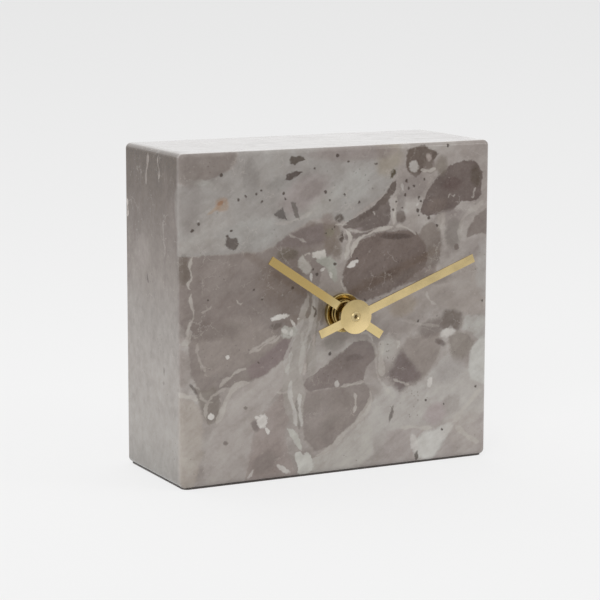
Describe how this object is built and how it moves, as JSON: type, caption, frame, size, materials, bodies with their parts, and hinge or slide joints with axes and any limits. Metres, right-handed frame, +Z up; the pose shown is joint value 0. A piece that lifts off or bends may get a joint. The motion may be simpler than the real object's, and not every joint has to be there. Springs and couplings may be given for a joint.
{
  "type": "table clock",
  "caption": "Small free-standing table clock: a polished stone block on a felt pad with bare brass hour and minute hands, driven by a battery quartz movement set into its back.",
  "frame": {"origin": "centre of the base pad's underside", "axes": "+X to the right seen from the front, +Y to the rear (the hands' axis, dial facing -Y), +Z up"},
  "size_m": [0.105, 0.0527, 0.1],
  "materials": {
    "marble": "polished",
    "felt": "matt",
    "turned_brass": "turned",
    "hand_brass": "brushed",
    "rubber": "matt",
    "case_plastic": "fine spark texture",
    "knob_plastic": "moulded",
    "plate_plastic": "moulded",
    "wheel_plastic": "moulded",
    "steel": "bright",
    "strip_steel": "nickel plated",
    "core_steel": "stamped",
    "magnet": "sintered",
    "bobbin_plastic": "moulded",
    "copper_wire": "enamelled copper",
    "board": "lacquered",
    "chip_resin": "cast resin",
    "crystal_can": "drawn metal",
    "battery_wrap": "plain shrink sleeve"
  },
  "bodies": {
    "housing": {"marble_block": "marble", "base_pad": "felt", "threaded_bush": "turned_brass", "dial_nut": "turned_brass", "rubber_washer": "rubber", "movement_case": "case_plastic", "rear_cover": "case_plastic", "train_plate": "plate_plastic", "rear_bridge": "plate_plastic", "bridge_screws": "steel", "stator": "core_steel", "coil_core": "core_steel", "coil_bobbin": "bobbin_plastic", "coil_winding": "copper_wire", "circuit_board": "board", "timing_chip": "chip_resin", "quartz_crystal": "crystal_can", "minus_contact": "strip_steel", "plus_contact": "strip_steel"},
    "minute_set": {"minute_arbor": "turned_brass", "minute_hand": "hand_brass"},
    "hour_set": {"hour_wheel": "turned_brass", "hour_hand": "hand_brass"},
    "transmission_set": {"transmission_wheel": "wheel_plastic"},
    "setting_set": {"setting_shaft": "wheel_plastic", "setting_knob": "knob_plastic"},
    "rotor_set": {"rotor_magnet": "magnet", "rotor_pinion": "wheel_plastic"},
    "intermediate_set": {"intermediate_wheel": "wheel_plastic"},
    "seconds_set": {"seconds_wheel": "wheel_plastic", "seconds_arbor": "steel"},
    "third_set": {"third_wheel": "wheel_plastic"},
    "centre_set": {"centre_wheel": "wheel_plastic"},
    "battery_set": {"battery": "battery_wrap"}
  },
  "joints": [
    {"name": "minute_turn", "type": "hinge", "parent": "housing", "child": "minute_set", "pos_m": [0, 0, 0.05], "axis": [0, 1, 0], "continuous": true},
    {"name": "hour_turn", "type": "hinge", "parent": "housing", "child": "hour_set", "pos_m": [0, 0, 0.05], "axis": [0, 1, 0], "continuous": true},
    {"name": "transmission_turn", "type": "hinge", "parent": "housing", "child": "transmission_set", "pos_m": [-0.00912, 0, 0.05], "axis": [0, 1, 0], "continuous": true},
    {"name": "setting_turn", "type": "hinge", "parent": "housing", "child": "setting_set", "pos_m": [-0.01368, 0, 0.0579], "axis": [0, 1, 0], "continuous": true},
    {"name": "rotor_turn", "type": "hinge", "parent": "housing", "child": "rotor_set", "pos_m": [0.00624, 0, 0.0613], "axis": [0, 1, 0], "continuous": true},
    {"name": "intermediate_turn", "type": "hinge", "parent": "housing", "child": "intermediate_set", "pos_m": [0, 0, 0.0577], "axis": [0, 1, 0], "continuous": true},
    {"name": "seconds_turn", "type": "hinge", "parent": "housing", "child": "seconds_set", "pos_m": [0, 0, 0.05], "axis": [0, 1, 0], "continuous": true},
    {"name": "third_turn", "type": "hinge", "parent": "housing", "child": "third_set", "pos_m": [0.0076, 0, 0.05], "axis": [0, 1, 0], "continuous": true},
    {"name": "centre_turn", "type": "hinge", "parent": "housing", "child": "centre_set", "pos_m": [0, 0, 0.05], "axis": [0, 1, 0], "continuous": true},
    {"name": "battery_slide", "type": "slide", "parent": "housing", "child": "battery_set", "axis": [0, 1, 0], "range_m": [0, 0.032]}
  ],
  "couplings": [
    {"joint": "hour_turn", "follows": "minute_turn", "ratio": 0.083333},
    {"joint": "transmission_turn", "follows": "minute_turn", "ratio": -0.33333},
    {"joint": "setting_turn", "follows": "minute_turn", "ratio": 1},
    {"joint": "intermediate_turn", "follows": "rotor_turn", "ratio": -0.2},
    {"joint": "seconds_turn", "follows": "rotor_turn", "ratio": 0.033333},
    {"joint": "third_turn", "follows": "rotor_turn", "ratio": -0.0044444},
    {"joint": "centre_turn", "follows": "rotor_turn", "ratio": 0.00055556}
  ]
}
